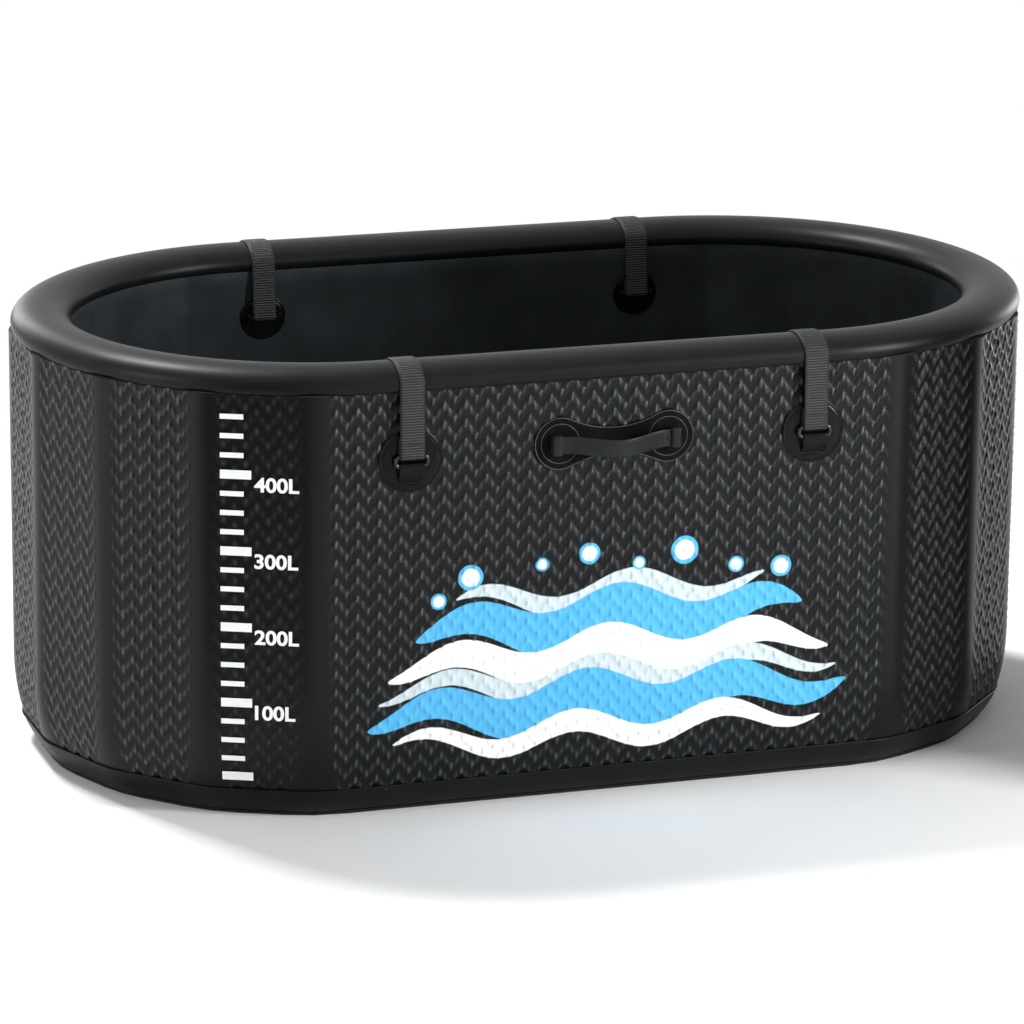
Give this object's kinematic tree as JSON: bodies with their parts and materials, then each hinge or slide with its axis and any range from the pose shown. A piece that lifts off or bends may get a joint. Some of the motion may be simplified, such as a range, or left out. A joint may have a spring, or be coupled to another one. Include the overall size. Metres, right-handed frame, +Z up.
{
  "type": "cold plunge tub",
  "caption": "Oval inflatable cold plunge tub with a faceted drop-stitch wall, smooth rim, webbing straps, carry handles, valve and water fittings.",
  "frame": {"origin": "on the ground, under the middle of the tub", "axes": "+X along the tub's length, to the right seen from the front; the front faces -Y; +Z up"},
  "size_m": [1.5494, 0.9334, 0.6723],
  "materials": {
    "base_sheet": "matte",
    "foam": "matte",
    "core": "matte",
    "embossed_skin": "satin",
    "liner": "satin",
    "smooth_rail": "satin",
    "webbing": "matte",
    "moulded_patch": "satin",
    "ring": "gloss",
    "handle_patch": "matte",
    "grip": "satin",
    "fitting": "satin",
    "gasket": "matte",
    "steel": "satin"
  },
  "bodies": {
    "tub": {"base_sheet": "base_sheet", "floor_pad": "foam", "drop_stitch_core": "core", "outer_skin": "embossed_skin", "inner_liner": "liner", "rim_rail": "smooth_rail", "base_rail": "smooth_rail", "front_left_strap": "webbing", "front_right_strap": "webbing", "back_left_strap": "webbing", "back_right_strap": "webbing", "front_left_strap_patch": "moulded_patch", "front_right_strap_patch": "moulded_patch", "back_left_strap_patch": "moulded_patch", "back_right_strap_patch": "moulded_patch", "front_left_strap_ring": "ring", "front_right_strap_ring": "ring", "back_left_strap_ring": "ring", "back_right_strap_ring": "ring", "front_left_strap_anchor": "moulded_patch", "front_right_strap_anchor": "moulded_patch", "back_left_strap_anchor": "moulded_patch", "back_right_strap_anchor": "moulded_patch", "front_handle_patch": "handle_patch", "back_handle_patch": "handle_patch", "front_handle_keeper_left": "moulded_patch", "front_handle_keeper_right": "moulded_patch", "back_handle_keeper_left": "moulded_patch", "back_handle_keeper_right": "moulded_patch", "valve_body": "fitting", "valve_nut": "fitting", "valve_spring": "steel", "drain_sleeve": "fitting", "drain_gasket": "gasket", "drain_nut": "fitting", "drain_strainer": "fitting", "inlet_sleeve": "fitting", "inlet_gasket": "gasket", "inlet_nut": "fitting", "inlet_strainer": "fitting", "outlet_sleeve": "fitting", "outlet_gasket": "gasket", "outlet_nut": "fitting", "outlet_strainer": "fitting"},
    "front_grip": {"front_handle_grip": "grip"},
    "back_grip": {"back_handle_grip": "grip"},
    "valve_pin": {"valve_plunger": "fitting", "valve_seal": "gasket"},
    "valve_lid": {"valve_cap": "fitting"},
    "drain_lid": {"drain_cap": "fitting"},
    "inlet_lid": {"inlet_cap": "fitting"},
    "outlet_lid": {"outlet_cap": "fitting"}
  },
  "joints": [
    {"name": "front_grip_swing", "type": "hinge", "parent": "tub", "child": "front_grip", "pos_m": [0, -0.44296, 0.54], "axis": [-1, 0, 0], "range_deg": [-20, 35]},
    {"name": "back_grip_swing", "type": "hinge", "parent": "tub", "child": "back_grip", "pos_m": [0, 0.44296, 0.54], "axis": [1, 0, 0], "range_deg": [-20, 35]},
    {"name": "valve_push", "type": "slide", "parent": "tub", "child": "valve_pin", "axis": [0, -1, 0], "range_m": [0, 0.005], "stiffness_N_per_m": 600, "deforming": ["valve_spring"]},
    {"name": "valve_cap_turn", "type": "hinge", "parent": "tub", "child": "valve_lid", "pos_m": [-0.18, 0.43016, 0.39], "axis": [0, 1, 0], "range_deg": [0, 90]},
    {"name": "drain_cap_turn", "type": "hinge", "parent": "tub", "child": "drain_lid", "pos_m": [0, 0.43016, 0.095], "axis": [0, 1, 0], "range_deg": [0, 540]},
    {"name": "inlet_cap_turn", "type": "hinge", "parent": "tub", "child": "inlet_lid", "pos_m": [0.18, 0.43016, 0.39], "axis": [0, 1, 0], "range_deg": [0, 540]},
    {"name": "outlet_cap_turn", "type": "hinge", "parent": "tub", "child": "outlet_lid", "pos_m": [0.18, 0.43016, 0.2], "axis": [0, 1, 0], "range_deg": [0, 540]}
  ]
}
